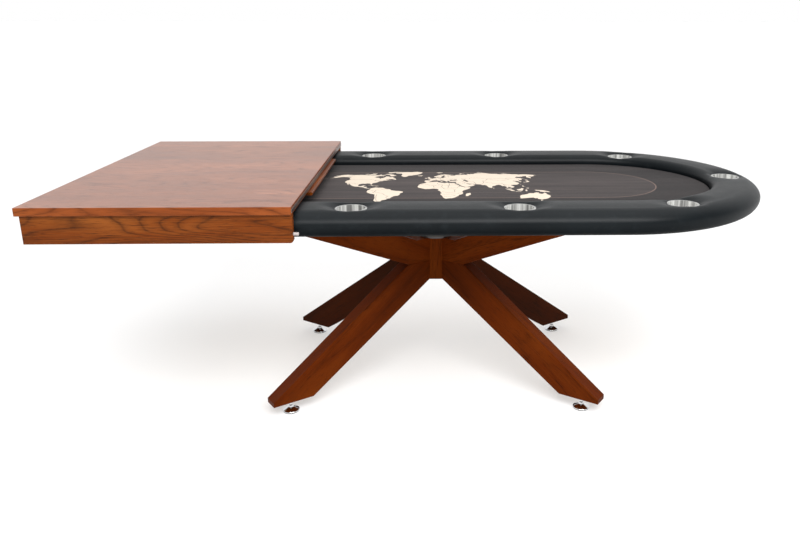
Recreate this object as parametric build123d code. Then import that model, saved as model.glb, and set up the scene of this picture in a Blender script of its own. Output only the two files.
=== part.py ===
from build123d import *
import math
import os

# Gaming table: padded racetrack rail round a printed playing cloth, ten drop-in cups, a crossed
# wooden base on levelling feet, and one lift-off section of the dining top over the left end.
# Millimetres, +Z up, +X along the table. The floor is z = 0 and the origin is the middle of the
# footprint. The parts are drawn about the centre post's axis and shifted by HUB_X when written.

# ---- Driving dimensions ----
HUB_X = 23.0

# How far a cut runs past the face it opens, and how close to a plane an edge counts as lying in it
OVERCUT = 1.0
NEAR = 0.1
END_CHAMFER = 1.0

# Playing field and rail, all heights above the floor
RAIL_TOP = 757.0
RAIL_BOTTOM = 675.0
RAIL_HALF_WIDTH = 559.0
RAIL_HALF_LENGTH = 1145.0
FIELD_HALF_WIDTH = 380.0
FIELD_HALF_LENGTH = 985.0
OUTER_TOP_RADIUS = 46.0
OUTER_BOTTOM_RADIUS = 30.0
INNER_EDGE_RADIUS = 14.0
VINYL = 2.0
VINYL_RETURN = 60.0

RAIL_FRAME_INSET = 32.0
RAIL_FRAME_HEIGHT = 18.0
FRAME_LEDGE = 30.0
DECK_THICKNESS = 18.0
UNDERLAY = 5.5
CLOTH = 1.5
CLOTH_GAP = 1.5
DECK_SCREW_TURNS = (-45.0, 0.0, 45.0)
DECK_SCREW_ROW = 4

# Cups
CUP_OUTER_R = 43.0
CUP_WALL = 1.0
CUP_LIP_R = 49.0
CUP_LIP = 1.2
CUP_DEPTH = 66.0
CUP_CORNER = 6.0
CUP_HOLE_R = 44.0
CUP_RECESS_R = 52.0
CUP_RECESS = 12.5
SIDE_CUP_X = 257.0
SIDE_CUP_Y = 454.0
CORNER_CUP_ANGLE = 66.0
END_CUP_X = 1058.0

# Crossed base
LEG_ANGLE = math.degrees(math.atan2(342.5, 502.7))
LEG_WIDTH = 56.0
HUB_BOTTOM = 373.0
HUB_TOP = 531.0
HUB_FACE = 46.0
HUB_FRONT_HALF = 22.0
LEG_SEAT = 446.0
LEG_SEAT_END = 138.0
LEG_TIP = 679.0
LEG_TIP_TOP = 58.0
LEG_SOLE = 42.0
LEG_SOLE_START = 534.0
ARM_TIP = 560.0
ARM_TIP_BOTTOM = 630.0
ARM_TOP_START = 100.0
WOOD_EASE = 2.5
POST_EASE = 0.8

ROD_R = 5.0
ROD_HALF_LENGTH = 110.0
LEG_ROD_LEVELS = (398.0, 422.0)
ARM_ROD_LEVELS = (478.0, 502.0)
NUT_R = 7.0
NUT_LENGTH = 30.0
NUT_REACH = 100.0
DOWEL_R = 5.0
DOWEL_LENGTH = 30.0
DOWEL_REACHES = (70.0, 124.0)

HUB_PLATE_R = 57.5
HUB_PLATE = 8.0
HUB_PLATE_EASE = 1.5
HUB_SCREW_R = 35.0
ARM_PLATE = 4.0
ARM_PLATE_REACH = (450.0, 550.0)
ARM_PLATE_HALF_WIDTH = 55.0
ARM_PLATE_CORNER = 6.0
PLATE_SCREW_SPREAD = 30.0
PLATE_SCREW_MARGIN = 13.0
BATTEN_HALF_LENGTH = 600.0
BATTEN_BOTTOM = 670.0
BATTEN_Y = (215.0, 350.0)

SCREW_R = 2.5
SCREW_HEAD_R = 5.0
SCREW_LENGTH = 24.0
DECK_SCREW_LENGTH = 30.0

# Levelling feet
FOOT_REACH = 608.3
PAD_R = 29.0
PAD_TOP_R = 9.5
PAD_TOP = 15.0
PAD_SKIRT = 3.0
PAD_EASE = 2.0
SOLE_R = 27.5
SOLE = 3.0
STEM_R = 5.0
STEM_BOTTOM = 6.0
STEM_TOP = 80.0
COLLAR_FLATS = 17.0
COLLAR = (15.5, 22.0)
STEM_CLEARANCE = 0.05
INSERT_R = 8.0
INSERT_HEIGHT = 25.0
STEM_WELL_R = 6.0
STEM_WELL_TOP = 97.0

# Lift-off section of the dining top
LEAF_END = -1191.0
LEAF_JOINT = -411.0
LEAF_HALF_WIDTH = 596.0
LEAF_BOTTOM = 760.0
LEAF_THICKNESS = 25.0
LEAF_OVERHANG = 10.0
LEAF_EASE = 2.0
APRON = 19.0
APRON_HEIGHT = 85.0
APRON_CORNER = 9.0
TONGUE_HALF_WIDTH = 300.0
TONGUE_BACK = 70.0
TONGUE_REACH = 14.0
TONGUE_HEIGHT = 10.0
TONGUE_EASE = 2.0
TONGUE_SCREW_PITCH = 100.0
TONGUE_SCREW_COUNT = 6
STRIP_HEIGHT = 12.0
STRIP_LOW = 765.0
STRIP_DEPTH = 6.0
STRIP_RIB = 1.5
STRIP_RIB_COUNT = 3
STRIP_RIB_SHARE = 0.6
STRIP_MARGIN = 4.0
PIN_R = 5.0
PIN_REACH = 15.0
PIN_SHANK_R = 6.0
PIN_SHANK = 24.0
PIN_Z = 700.0
APRON_DOWEL_R = 4.0
APRON_DOWEL_LENGTH = 30.0
APRON_DOWEL_COUNT = 5
SIDE_DOWEL_PITCH = 150.0
END_DOWEL_PITCH = 200.0
BLOCK_LEG = 45.0
BLOCK_Z = (690.0, 758.0)
SIDE_PAD_X = (-720.0, -430.0)
SIDE_PAD_Y = (490.0, 510.0)
END_PAD_X = (-1075.0, -1055.0)
END_PAD_Y = (100.0, 140.0)

# ---- Worked-out levels ----
FRAME_BOTTOM = RAIL_BOTTOM + VINYL
FRAME_TOP = FRAME_BOTTOM + RAIL_FRAME_HEIGHT
DECK_TOP = FRAME_TOP + DECK_THICKNESS
UNDERLAY_TOP = DECK_TOP + UNDERLAY
FIELD_TOP = UNDERLAY_TOP + CLOTH
ARM_TOP = BATTEN_BOTTOM - ARM_PLATE
CUP_SEAT = RAIL_TOP - CUP_RECESS
LEAF_TOP = LEAF_BOTTOM + LEAF_THICKNESS
APRON_BOTTOM = LEAF_BOTTOM - APRON_HEIGHT
APRON_FACE_Y = LEAF_HALF_WIDTH - LEAF_OVERHANG
APRON_FACE_X = LEAF_END + LEAF_OVERHANG

QUARTERS = {"front_left": (-1, -1), "front_right": (1, -1), "back_left": (-1, 1), "back_right": (1, 1)}

os.makedirs("parts", exist_ok=True)


def write(node, shape):
    """Move a piece, or a group of pieces, to the table's own origin and write its file."""
    solids = [Pos(HUB_X, 0, 0) * solid for solid in shape.solids()]
    export_step(solids[0] if len(solids) == 1 else Compound(children=solids), f"parts/{node}.step")


def racetrack(half_length, half_width, low, high):
    """Board with straight sides and half-round ends, between two heights."""
    outline = SlotCenterToCenter(2 * (half_length - half_width), 2 * half_width)
    return Pos(0, 0, low) * extrude(outline, high - low)


def block(x_range, y_range, z_range):
    """Square-edged block between two corners."""
    size = [high - low for low, high in (x_range, y_range, z_range)]
    corner = Pos(x_range[0], y_range[0], z_range[0])
    return corner * Box(*size, align=(Align.MIN, Align.MIN, Align.MIN))


def rod(radius, low, high):
    """Upright round bar on the Z axis."""
    return Pos(0, 0, low) * Cylinder(radius, high - low, align=(Align.CENTER, Align.CENTER, Align.MIN))


def screw(length):
    """Countersunk screw pointing down, with the top of its head at z = 0."""
    head = Pos(0, 0, -SCREW_HEAD_R / 2) * Cone(SCREW_R, SCREW_HEAD_R, SCREW_HEAD_R, align=(Align.CENTER,) * 3)
    return head + rod(SCREW_R, -length, -SCREW_HEAD_R)


def together(shapes):
    """Group of separate solids."""
    return Compound(children=[solid for shape in shapes for solid in shape.solids()])


def cut(shape, tools):
    """Take each tool out of a shape."""
    for tool in tools:
        shape = shape - tool
    return shape


def spread(middle, pitch, count):
    """Evenly spaced positions about a middle."""
    return [middle + (step - (count - 1) / 2) * pitch for step in range(count)]


def edges_at(shape, height, half_length, half_width):
    """Level edges at one height that lie inside a racetrack's bounds."""
    found = []
    for edge in shape.edges():
        box = edge.bounding_box()
        level = abs(box.min.Z - height) < NEAR and abs(box.max.Z - height) < NEAR
        if level and box.max.X < half_length + NEAR and box.max.Y < half_width + NEAR:
            found.append(edge)
    return found


def spoke(quarter):
    """Place that turns the upright plane of one leg, drawn along +X, to its quarter."""
    side_x, side_y = QUARTERS[quarter]
    angle = LEG_ANGLE if side_x * side_y > 0 else -LEG_ANGLE
    return Rot(0, 0, angle if side_x > 0 else angle + 180)


def beam(points, eased_from):
    """Beam of the base's width with the given side outline; its long edges that go past a reach are eased."""
    face = make_face(Polyline(*points, close=True))
    shape = Pos(0, LEG_WIDTH / 2, 0) * extrude(Plane.XZ * face, LEG_WIDTH)
    eased = []
    for edge in shape.edges():
        box = edge.bounding_box()
        on_side = box.max.Y - box.min.Y < NEAR
        if on_side and box.max.X > eased_from + NEAR:
            eased.append(edge)
    return fillet(eased, WOOD_EASE)


# ---- Cups ----
def cup_places():
    """Centres of the ten cups, front left to right, then the ends, then the back."""
    ring = RAIL_HALF_LENGTH - RAIL_HALF_WIDTH
    turn = math.radians(CORNER_CUP_ANGLE)
    corner_x = ring + SIDE_CUP_Y * math.cos(turn)
    corner_y = SIDE_CUP_Y * math.sin(turn)
    right = [(SIDE_CUP_X, -SIDE_CUP_Y), (corner_x, -corner_y)]
    front = [(-x, y) for x, y in reversed(right)] + right
    ends = [(-END_CUP_X, 0), (END_CUP_X, 0)]
    back = [(x, -y) for x, y in front]
    return front + ends + back


def cup_bores(radius, low, high):
    """Upright bores at all the cups."""
    return [Pos(x, y, 0) * rod(radius, low, high) for x, y in cup_places()]


def cup():
    """Pressed steel cup with a flat lip, hanging from its seat at z = 0."""
    bottom = CUP_LIP - CUP_DEPTH
    body = rod(CUP_OUTER_R, bottom, CUP_LIP)
    body = fillet(body.edges().sort_by(Axis.Z)[0], CUP_CORNER)
    lip = fillet(rod(CUP_LIP_R, 0, CUP_LIP).edges().sort_by(Axis.Z)[-1], CUP_LIP / 2)
    inside = rod(CUP_OUTER_R - CUP_WALL, bottom + CUP_WALL, CUP_LIP + OVERCUT)
    inside = fillet(inside.edges().sort_by(Axis.Z)[0], CUP_CORNER - CUP_WALL)
    return body + lip - inside


# ---- Rail ----
def rail_body(skin):
    """Padded rail, without its frame, at a depth below its outer surface."""
    top = RAIL_TOP - skin
    bottom = RAIL_BOTTOM + skin
    body = racetrack(RAIL_HALF_LENGTH - skin, RAIL_HALF_WIDTH - skin, bottom, top)
    body = fillet(edges_at(body, top, RAIL_HALF_LENGTH, RAIL_HALF_WIDTH), OUTER_TOP_RADIUS - skin)
    body = fillet(edges_at(body, bottom, RAIL_HALF_LENGTH, RAIL_HALF_WIDTH), OUTER_BOTTOM_RADIUS - skin)
    body = body - racetrack(
        FIELD_HALF_LENGTH + skin, FIELD_HALF_WIDTH + skin, bottom - OVERCUT, top + OVERCUT
    )
    inner = edges_at(body, top, FIELD_HALF_LENGTH + skin, FIELD_HALF_WIDTH + skin)
    body = fillet(inner, INNER_EDGE_RADIUS - skin)
    body = cut(body, cup_bores(CUP_RECESS_R + skin, CUP_SEAT - skin, top + OVERCUT))
    return cut(body, cup_bores(CUP_HOLE_R, bottom - OVERCUT, top + OVERCUT))


def rail():
    """Plywood ring, foam on and round it, and the vinyl drawn over the foam and under the ring."""
    ring_length = RAIL_HALF_LENGTH - RAIL_FRAME_INSET
    ring_width = RAIL_HALF_WIDTH - RAIL_FRAME_INSET
    well_length = FIELD_HALF_LENGTH - FRAME_LEDGE
    well_width = FIELD_HALF_WIDTH - FRAME_LEDGE
    ring = racetrack(ring_length, ring_width, FRAME_BOTTOM, FRAME_TOP)
    frame = ring - racetrack(well_length, well_width, FRAME_BOTTOM - OVERCUT, FRAME_TOP + OVERCUT)
    frame = cut(frame, cup_bores(CUP_HOLE_R, FRAME_BOTTOM - OVERCUT, FRAME_TOP + OVERCUT))
    write("rail_frame", cut(frame, deck_screws()))
    padding = rail_body(VINYL)
    write("rail_foam", padding - racetrack(ring_length, ring_width, RAIL_BOTTOM, FRAME_TOP))
    open_under = racetrack(
        RAIL_HALF_LENGTH - VINYL_RETURN, RAIL_HALF_WIDTH - VINYL_RETURN, RAIL_BOTTOM - OVERCUT, FRAME_TOP
    )
    write("rail_cover", rail_body(0) - padding - open_under - ring)
    for number, (x, y) in enumerate(cup_places(), start=1):
        write(f"cup_{number:02d}", Pos(x, y, CUP_SEAT) * cup())


# ---- Playing field ----
def deck_screws():
    """Screws up through the rail frame's ledge into the deck board."""
    straight = FIELD_HALF_LENGTH - FIELD_HALF_WIDTH
    reach = FIELD_HALF_WIDTH - FRAME_LEDGE / 2
    row = spread(0, 2 * straight / (DECK_SCREW_ROW - 1), DECK_SCREW_ROW)
    places = [(x, side * reach) for x in row for side in (-1, 1)]
    for side in (-1, 1):
        for turn in DECK_SCREW_TURNS:
            angle = math.radians(turn)
            places.append((side * (straight + reach * math.cos(angle)), reach * math.sin(angle)))
    up = Rot(180, 0, 0) * screw(DECK_SCREW_LENGTH)
    return [Pos(x, y, FRAME_BOTTOM) * up for x, y in places]


def playing_field():
    """Deck board on the rail frame's ledge, its foam underlay, and the cloth drawn over both."""
    half_length = FIELD_HALF_LENGTH - CLOTH_GAP - CLOTH
    half_width = FIELD_HALF_WIDTH - CLOTH_GAP - CLOTH
    board = racetrack(half_length, half_width, FRAME_TOP, DECK_TOP)
    write("deck_board", cut(board, deck_screws()))
    write("field_underlay", racetrack(half_length, half_width, DECK_TOP, UNDERLAY_TOP))
    cloth = racetrack(half_length + CLOTH, half_width + CLOTH, FRAME_TOP, FIELD_TOP)
    write("playing_cloth", cloth - racetrack(half_length, half_width, FRAME_TOP - OVERCUT, UNDERLAY_TOP))
    write("deck_screws", together(deck_screws()))


# ---- Crossed base ----
def plate_screw_places():
    """Screws of one arm plate along +X: up into the batten beside the arm, down into the arm."""
    up = Rot(180, 0, 0) * screw(SCREW_LENGTH)
    down = screw(SCREW_LENGTH)
    middle = sum(ARM_PLATE_REACH) / 2
    row = (middle - PLATE_SCREW_SPREAD, middle + PLATE_SCREW_SPREAD)
    side = ARM_PLATE_HALF_WIDTH - PLATE_SCREW_MARGIN
    found = [Pos(x, y, ARM_TOP) * up for x in row for y in (-side, side)]
    return found + [Pos(x, 0, BATTEN_BOTTOM) * down for x in row]


def hub_screws():
    """Four screws through the hub plate into the post."""
    places = [(HUB_SCREW_R, 0), (-HUB_SCREW_R, 0), (0, HUB_SCREW_R), (0, -HUB_SCREW_R)]
    return [Pos(x, y, HUB_TOP + HUB_PLATE) * screw(SCREW_LENGTH) for x, y in places]


def tie_rods():
    """Rods across the post that pull opposite legs, and opposite arms, against it."""
    level = Rot(0, 90, 0) * rod(ROD_R, -ROD_HALF_LENGTH, ROD_HALF_LENGTH)
    rods = []
    for levels in (LEG_ROD_LEVELS, ARM_ROD_LEVELS):
        for quarter, height in zip(("back_right", "front_right"), levels):
            rods.append(Pos(0, 0, height) * spoke(quarter) * level)
    return rods


def rod_level(quarter, levels):
    """Height of the tie rod that serves one quarter."""
    return levels[0] if quarter in ("back_right", "front_left") else levels[1]


def barrel_nut(quarter, levels, length, centre):
    """Cross nut, or the hole it goes in through, on the side of the beam away from the middle."""
    side_x, side_y = QUARTERS[quarter]
    outward = side_x * side_y
    bar = Rot(90, 0, 0) * rod(NUT_R, -length / 2, length / 2)
    return spoke(quarter) * Pos(NUT_REACH, -outward * centre, rod_level(quarter, levels)) * bar


def joint_dowels(quarter):
    """Dowels across the seat between a leg and its arm."""
    low = LEG_SEAT - DOWEL_LENGTH / 2
    dowel = rod(DOWEL_R, low, low + DOWEL_LENGTH)
    return [spoke(quarter) * Pos(reach, 0, 0) * dowel for reach in DOWEL_REACHES]


def nut_hole(quarter, levels):
    """Blind hole for a barrel nut, open on the beam's outward side."""
    depth = LEG_WIDTH / 2 + NUT_LENGTH / 2 + OVERCUT
    return barrel_nut(quarter, levels, depth, LEG_WIDTH / 2 + OVERCUT - depth / 2)


def leg_outline():
    """Side of a leg: reach from the post's axis against height."""
    return [
        (HUB_FACE, HUB_BOTTOM),
        (HUB_FACE, LEG_SEAT),
        (LEG_SEAT_END, LEG_SEAT),
        (LEG_TIP, LEG_TIP_TOP),
        (LEG_TIP, LEG_SOLE),
        (LEG_SOLE_START, LEG_SOLE),
    ]


def arm_outline():
    """Side of an arm, whose top and bottom run up to the deck side by side."""
    slope = (ARM_TIP_BOTTOM - LEG_SEAT) / (ARM_TIP - LEG_SEAT_END)
    top_reach = ARM_TOP_START + (ARM_TOP - HUB_TOP) / slope
    return [
        (HUB_FACE, LEG_SEAT),
        (LEG_SEAT_END, LEG_SEAT),
        (ARM_TIP, ARM_TIP_BOTTOM),
        (ARM_TIP, ARM_TOP),
        (top_reach, ARM_TOP),
        (ARM_TOP_START, HUB_TOP),
        (HUB_FACE, HUB_TOP),
    ]


def hub_post():
    """Six-sided post: four faces square to the beams, two narrow ones at front and back."""
    turn = math.radians(LEG_ANGLE)
    front_y = (HUB_FACE - HUB_FRONT_HALF * math.cos(turn)) / math.sin(turn)
    side_x = HUB_FACE / math.cos(turn)
    corners = [
        (HUB_FRONT_HALF, front_y),
        (side_x, 0),
        (HUB_FRONT_HALF, -front_y),
        (-HUB_FRONT_HALF, -front_y),
        (-side_x, 0),
        (-HUB_FRONT_HALF, front_y),
    ]
    post = extrude(make_face(Polyline(*corners, close=True)), HUB_TOP - HUB_BOTTOM)
    post = Pos(0, 0, HUB_BOTTOM) * chamfer(post.edges().filter_by(Axis.Z), POST_EASE)
    return cut(post, tie_rods() + hub_screws())


def base():
    """Post, four legs, four arms and what holds them together."""
    write("hub_post", hub_post())
    plate = Pos(0, 0, HUB_TOP) * rod(HUB_PLATE_R, 0, HUB_PLATE)
    plate = fillet(plate.edges().sort_by(Axis.Z)[-1], HUB_PLATE_EASE)
    write("hub_plate", cut(plate, hub_screws()))
    leg = beam(leg_outline(), HUB_FACE)
    leg = leg - Pos(FOOT_REACH, 0, 0) * rod(INSERT_R, LEG_SOLE - OVERCUT, LEG_SOLE + INSERT_HEIGHT)
    leg = leg - Pos(FOOT_REACH, 0, 0) * rod(STEM_WELL_R, LEG_SOLE, STEM_WELL_TOP)
    arm = cut(beam(arm_outline(), LEG_SEAT_END), plate_screw_places())
    across = (-ARM_PLATE_HALF_WIDTH, ARM_PLATE_HALF_WIDTH)
    arm_plate = block(ARM_PLATE_REACH, across, (ARM_TOP, BATTEN_BOTTOM))
    arm_plate = cut(fillet(arm_plate.edges().filter_by(Axis.Z), ARM_PLATE_CORNER), plate_screw_places())
    nuts = []
    dowels = []
    plates = []
    plate_screws = hub_screws()
    for quarter in QUARTERS:
        place = spoke(quarter)
        pegs = joint_dowels(quarter)
        leg_cuts = tie_rods() + pegs + [nut_hole(quarter, LEG_ROD_LEVELS)]
        arm_cuts = tie_rods() + pegs + [nut_hole(quarter, ARM_ROD_LEVELS)]
        write(f"leg_{quarter}", cut(place * leg, leg_cuts))
        write(f"arm_{quarter}", cut(place * arm, arm_cuts))
        for levels in (LEG_ROD_LEVELS, ARM_ROD_LEVELS):
            nuts.append(cut(barrel_nut(quarter, levels, NUT_LENGTH, 0), tie_rods()))
        dowels += pegs
        plates.append(place * arm_plate)
        plate_screws += [place * item for item in plate_screw_places()]
    write("tie_rods", together(tie_rods()))
    write("barrel_nuts", together(nuts))
    write("joint_dowels", together(dowels))
    write("arm_plates", together(plates))
    write("plate_screws", together(plate_screws))
    for name, side in (("front", -1), ("back", 1)):
        y_range = sorted(side * y for y in BATTEN_Y)
        batten = block((-BATTEN_HALF_LENGTH, BATTEN_HALF_LENGTH), y_range, (BATTEN_BOTTOM, FRAME_TOP))
        write(f"deck_batten_{name}", cut(batten, plate_screws))


# ---- Levelling feet ----
def feet():
    """Insert in the leg, screwed stem with its spanner collar, domed pad and rubber sole."""
    inserts = []
    sleeve = rod(INSERT_R, LEG_SOLE, LEG_SOLE + INSERT_HEIGHT)
    sleeve = sleeve - rod(STEM_R + STEM_CLEARANCE, LEG_SOLE - OVERCUT, LEG_SOLE + INSERT_HEIGHT + OVERCUT)
    collar = Pos(0, 0, COLLAR[0]) * extrude(
        RegularPolygon(COLLAR_FLATS / 2, 6, major_radius=False), COLLAR[1] - COLLAR[0]
    )
    stem = rod(STEM_R, STEM_BOTTOM, STEM_TOP)
    stem = chamfer(stem.edges().sort_by(Axis.Z)[-1], END_CHAMFER) + collar
    outline = [(0, SOLE), (PAD_R, SOLE), (PAD_R, SOLE + PAD_SKIRT), (PAD_TOP_R, PAD_TOP), (0, PAD_TOP)]
    pad = revolve(Plane.XZ * make_face(Polyline(*outline, close=True)), Axis.Z)
    rim = pad.edges().filter_by(GeomType.CIRCLE).sort_by(Axis.Z)
    pad = fillet([edge for edge in rim if edge.bounding_box().min.Z > SOLE + NEAR], PAD_EASE)
    pad = pad - rod(STEM_R + STEM_CLEARANCE, STEM_BOTTOM, PAD_TOP + OVERCUT)
    sole = rod(SOLE_R, 0, SOLE)
    for quarter in QUARTERS:
        place = spoke(quarter) * Pos(FOOT_REACH, 0, 0)
        inserts.append(place * sleeve)
        write(f"foot_stem_{quarter}", place * stem)
        write(f"foot_pad_{quarter}", place * pad)
        write(f"foot_sole_{quarter}", place * sole)
    write("foot_inserts", together(inserts))


# ---- Lift-off section of the dining top ----
def apron_dowels():
    """Dowels between the aprons' top edges and the slab."""
    middle_y = APRON_FACE_Y - APRON / 2
    middle_x = APRON_FACE_X + APRON / 2
    row = spread((LEAF_END + LEAF_JOINT) / 2, SIDE_DOWEL_PITCH, APRON_DOWEL_COUNT)
    places = [(x, side * middle_y) for x in row for side in (-1, 1)]
    places += [(middle_x, y) for y in spread(0, END_DOWEL_PITCH, APRON_DOWEL_COUNT)]
    low = LEAF_BOTTOM - APRON_DOWEL_LENGTH / 2
    return [Pos(x, y, 0) * rod(APRON_DOWEL_R, low, low + APRON_DOWEL_LENGTH) for x, y in places]


def tongue_screws():
    """Screws up through the tongue into the slab."""
    up = Rot(180, 0, 0) * screw(SCREW_LENGTH)
    x = LEAF_JOINT - TONGUE_BACK / 2
    row = spread(0, TONGUE_SCREW_PITCH, TONGUE_SCREW_COUNT)
    return [Pos(x, y, LEAF_BOTTOM - TONGUE_HEIGHT) * up for y in row]


def leaf_pins():
    """Pins that line up the next section: a nose, and a wider shank in the apron's end."""
    middle_y = APRON_FACE_Y - APRON / 2
    nose = rod(PIN_R, 0, PIN_REACH)
    nose = chamfer(nose.edges().sort_by(Axis.Z)[-1], END_CHAMFER)
    pin = Rot(0, 90, 0) * (rod(PIN_SHANK_R, -PIN_SHANK, 0) + nose)
    return [Pos(LEAF_JOINT, side * middle_y, PIN_Z) * pin for side in (-1, 1)]


def side_apron(side):
    """Long apron, mitred at the table's end, with a rounded corner at the joint."""
    outer = side * APRON_FACE_Y
    inner = side * (APRON_FACE_Y - APRON)
    corners = [
        (APRON_FACE_X, outer),
        (LEAF_JOINT, outer),
        (LEAF_JOINT, inner),
        (APRON_FACE_X + APRON, inner),
    ]
    board = Pos(0, 0, APRON_BOTTOM) * extrude(make_face(Polyline(*corners, close=True)), APRON_HEIGHT)
    joint_edges = board.edges().filter_by(Axis.Y).sort_by(Axis.Z)
    board = fillet(joint_edges[0], APRON_CORNER)
    return cut(board, apron_dowels() + leaf_pins())


def end_apron():
    """Short apron across the table's end, mitred into the long ones."""
    outer = APRON_FACE_Y
    inner = APRON_FACE_Y - APRON
    corners = [
        (APRON_FACE_X, -outer),
        (APRON_FACE_X + APRON, -inner),
        (APRON_FACE_X + APRON, inner),
        (APRON_FACE_X, outer),
    ]
    board = Pos(0, 0, APRON_BOTTOM) * extrude(make_face(Polyline(*corners, close=True)), APRON_HEIGHT)
    return cut(board, apron_dowels())


def edge_strip():
    """Ribbed metal strip let into the slab's edge at the joint."""
    half = LEAF_HALF_WIDTH - STRIP_MARGIN
    let_in = (LEAF_JOINT - STRIP_DEPTH, LEAF_JOINT)
    strip = block(let_in, (-half, half), (STRIP_LOW, STRIP_LOW + STRIP_HEIGHT))
    pitch = STRIP_HEIGHT / STRIP_RIB_COUNT
    for rib in range(STRIP_RIB_COUNT):
        low = STRIP_LOW + (rib + (1 - STRIP_RIB_SHARE) / 2) * pitch
        high = low + STRIP_RIB_SHARE * pitch
        strip = strip + block((LEAF_JOINT, LEAF_JOINT + STRIP_RIB), (-half, half), (low, high))
    return strip


def leaf():
    """Slab, aprons, tongue and small parts of the lift-off section."""
    slab = block((LEAF_END, LEAF_JOINT), (-LEAF_HALF_WIDTH, LEAF_HALF_WIDTH), (LEAF_BOTTOM, LEAF_TOP))
    slab = fillet(slab.edges(), LEAF_EASE)
    half = LEAF_HALF_WIDTH - STRIP_MARGIN
    groove_x = (LEAF_JOINT - STRIP_DEPTH, LEAF_JOINT + OVERCUT)
    groove = block(groove_x, (-half, half), (STRIP_LOW, STRIP_LOW + STRIP_HEIGHT))
    write("leaf_slab", cut(slab - groove, apron_dowels() + tongue_screws()))
    write("leaf_edge_strip", edge_strip())
    write("leaf_apron_front", side_apron(-1))
    write("leaf_apron_back", side_apron(1))
    write("leaf_apron_end", end_apron())
    tongue = block(
        (LEAF_JOINT - TONGUE_BACK, LEAF_JOINT + TONGUE_REACH),
        (-TONGUE_HALF_WIDTH, TONGUE_HALF_WIDTH),
        (LEAF_BOTTOM - TONGUE_HEIGHT, LEAF_BOTTOM),
    )
    tongue = chamfer(tongue.edges().filter_by(Axis.Y).sort_by(Axis.X)[-2:], TONGUE_EASE)
    write("leaf_tongue", cut(tongue, tongue_screws()))
    blocks = []
    for side in (-1, 1):
        corner_x = APRON_FACE_X + APRON
        corner_y = side * (APRON_FACE_Y - APRON)
        corners = [
            (corner_x, corner_y),
            (corner_x + BLOCK_LEG, corner_y),
            (corner_x, corner_y - side * BLOCK_LEG),
        ]
        face = make_face(Polyline(*corners, close=True))
        blocks.append(Pos(0, 0, BLOCK_Z[0]) * extrude(face, BLOCK_Z[1] - BLOCK_Z[0]))
    write("leaf_corner_blocks", together(blocks))
    pads = []
    for side in (-1, 1):
        for x_range, reaches in ((SIDE_PAD_X, SIDE_PAD_Y), (END_PAD_X, END_PAD_Y)):
            y_range = sorted(side * y for y in reaches)
            pads.append(block(x_range, y_range, (RAIL_TOP, LEAF_BOTTOM)))
    write("leaf_pads", together(pads))
    write("leaf_pins", together(leaf_pins()))
    write("apron_dowels", together(apron_dowels()))
    write("tongue_screws", together(tongue_screws()))


rail()
playing_field()
base()
feet()
leaf()
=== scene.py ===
import math

import bpy
import numpy as np
from mathutils import Matrix, Vector, geometry


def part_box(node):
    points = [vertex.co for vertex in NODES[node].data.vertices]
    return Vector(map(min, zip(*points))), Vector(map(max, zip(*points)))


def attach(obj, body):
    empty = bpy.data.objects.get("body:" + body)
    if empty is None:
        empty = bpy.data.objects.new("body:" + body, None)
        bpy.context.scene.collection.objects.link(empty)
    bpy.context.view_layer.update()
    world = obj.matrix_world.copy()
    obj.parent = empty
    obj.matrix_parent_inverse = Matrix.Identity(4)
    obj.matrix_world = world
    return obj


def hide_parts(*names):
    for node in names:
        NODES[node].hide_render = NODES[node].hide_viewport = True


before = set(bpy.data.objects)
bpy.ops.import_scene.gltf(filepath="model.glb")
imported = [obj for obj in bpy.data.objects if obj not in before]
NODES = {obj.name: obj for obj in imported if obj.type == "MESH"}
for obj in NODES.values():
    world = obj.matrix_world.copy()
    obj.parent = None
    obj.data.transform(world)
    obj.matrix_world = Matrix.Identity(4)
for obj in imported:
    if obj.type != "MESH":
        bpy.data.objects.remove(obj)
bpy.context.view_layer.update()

# Looks of the gaming table: vinyl rail and foam, printed cloth, grained wood, metal and felt.
# Metres, in the CAD frame: +Z up, +X along the table, the floor at z = 0.

QUARTERS = {"front_left": (-1, -1), "front_right": (1, -1), "back_left": (-1, 1), "back_right": (1, 1)}
CUPS = sorted(name for name in NODES if name.startswith("cup_"))
RANDOM = np.random.default_rng(7)


# ---- Places taken from the frame ----
def middle_of(node):
    """Middle of a CAD node's box."""
    low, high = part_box(node)
    return (low + high) / 2


HUB_X = middle_of("hub_post").x
RAIL_LOW, RAIL_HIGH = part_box("rail_cover")
RAIL_HALF_LENGTH = (RAIL_HIGH.x - RAIL_LOW.x) / 2
RAIL_HALF_WIDTH = (RAIL_HIGH.y - RAIL_LOW.y) / 2
RAIL_STRAIGHT = RAIL_HALF_LENGTH - RAIL_HALF_WIDTH
CLOTH_LOW, CLOTH_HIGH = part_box("playing_cloth")
CLOTH_HALF_LENGTH = (CLOTH_HIGH.x - CLOTH_LOW.x) / 2
CLOTH_HALF_WIDTH = (CLOTH_HIGH.y - CLOTH_LOW.y) / 2
CLOTH_STRAIGHT = CLOTH_HALF_LENGTH - CLOTH_HALF_WIDTH
CLOTH_TOP = CLOTH_HIGH.z
FRAME_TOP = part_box("rail_frame")[1].z
FRAME_HALF_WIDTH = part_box("rail_frame")[1].y
CUP_LOW, CUP_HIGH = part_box(CUPS[0])
CUP_LIP_R = (CUP_HIGH.x - CUP_LOW.x) / 2
CUP_PLACES = [(middle_of(name).x - HUB_X, middle_of(name).y) for name in CUPS]

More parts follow.
